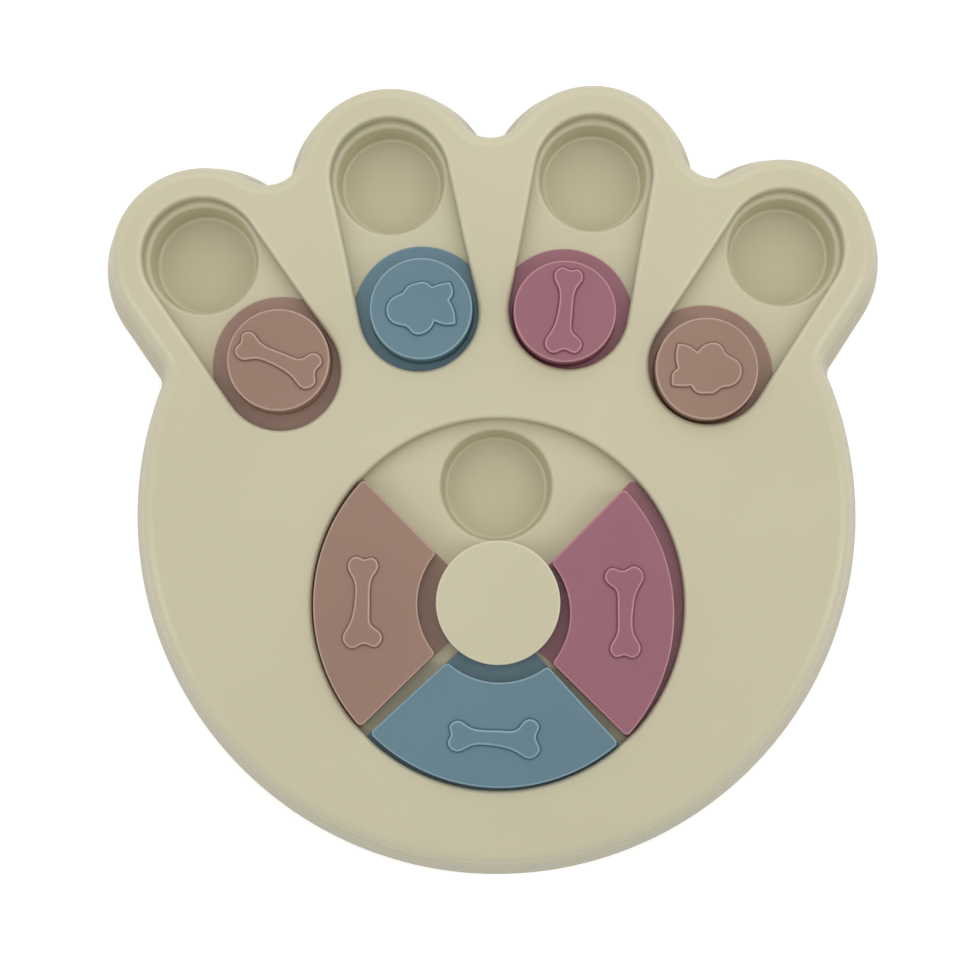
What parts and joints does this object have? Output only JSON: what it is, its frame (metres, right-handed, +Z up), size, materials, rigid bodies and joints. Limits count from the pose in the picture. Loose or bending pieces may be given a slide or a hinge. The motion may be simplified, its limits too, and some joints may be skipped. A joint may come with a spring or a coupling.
{
  "type": "puzzle feeder plate",
  "caption": "Paw-shaped pet feeder plate: sunk treat wells under sliding round buttons in the toes and wedges that turn round a hub in the palm.",
  "frame": {"origin": "on the floor, under the middle of the plate's bounding box", "axes": "+Z up, +Y from the heel of the palm towards the toes, +X to the right seen from above"},
  "size_m": [0.2528, 0.2566, 0.0324],
  "materials": {
    "cream_plastic": "satin moulded",
    "brown_plastic": "satin moulded",
    "blue_plastic": "satin moulded",
    "mauve_plastic": "satin moulded",
    "foot_rubber": "matte",
    "screw_steel": "bright zinc"
  },
  "bodies": {
    "plate": {"base_tray": "cream_plastic", "track_deck": "cream_plastic", "treat_cup_toe_outer_left": "cream_plastic", "treat_cup_toe_inner_left": "cream_plastic", "treat_cup_toe_inner_right": "cream_plastic", "treat_cup_toe_outer_right": "cream_plastic", "treat_cup_palm_rear": "cream_plastic", "treat_cup_palm_left": "cream_plastic", "treat_cup_palm_front": "cream_plastic", "treat_cup_palm_right": "cream_plastic", "top_cover": "cream_plastic", "hub_cap": "cream_plastic", "hub_screw": "screw_steel", "cover_screws": "screw_steel", "rubber_foot_1": "foot_rubber", "rubber_foot_2": "foot_rubber", "rubber_foot_3": "foot_rubber", "rubber_foot_4": "foot_rubber", "rubber_foot_5": "foot_rubber", "rubber_foot_6": "foot_rubber", "rubber_foot_7": "foot_rubber", "rubber_foot_8": "foot_rubber"},
    "slider_outer_left": {"toe_slider_outer_left": "brown_plastic"},
    "slider_inner_left": {"toe_slider_inner_left": "blue_plastic"},
    "slider_inner_right": {"toe_slider_inner_right": "mauve_plastic"},
    "slider_outer_right": {"toe_slider_outer_right": "brown_plastic"},
    "wedge_front": {"palm_wedge_front": "blue_plastic"},
    "wedge_left": {"palm_wedge_left": "brown_plastic"},
    "wedge_right": {"palm_wedge_right": "mauve_plastic"}
  },
  "joints": [
    {"name": "toe_slide_outer_left", "type": "slide", "parent": "plate", "child": "slider_outer_left", "axis": [-0.5577, 0.83, 0], "range_m": [-0.00449, 0.04433]},
    {"name": "toe_slide_inner_left", "type": "slide", "parent": "plate", "child": "slider_inner_left", "axis": [-0.1959, 0.9806, 0], "range_m": [-0.00222, 0.04709]},
    {"name": "toe_slide_inner_right", "type": "slide", "parent": "plate", "child": "slider_inner_right", "axis": [0.1959, 0.9806, 0], "range_m": [-0.00059, 0.04857]},
    {"name": "toe_slide_outer_right", "type": "slide", "parent": "plate", "child": "slider_outer_right", "axis": [0.5577, 0.83, 0], "range_m": [-0.0003, 0.04937]},
    {"name": "wedge_front_turn", "type": "hinge", "parent": "plate", "child": "wedge_front", "pos_m": [0, -0.04217, 0.0212], "axis": [0, 0, 1], "continuous": true},
    {"name": "wedge_left_turn", "type": "hinge", "parent": "wedge_front", "child": "wedge_left", "pos_m": [0, -0.04217, 0.0212], "axis": [0, 0, 1], "range_deg": [-88, 2]},
    {"name": "wedge_right_turn", "type": "hinge", "parent": "wedge_front", "child": "wedge_right", "pos_m": [0, -0.04217, 0.0212], "axis": [0, 0, 1], "range_deg": [-1, 88]}
  ]
}
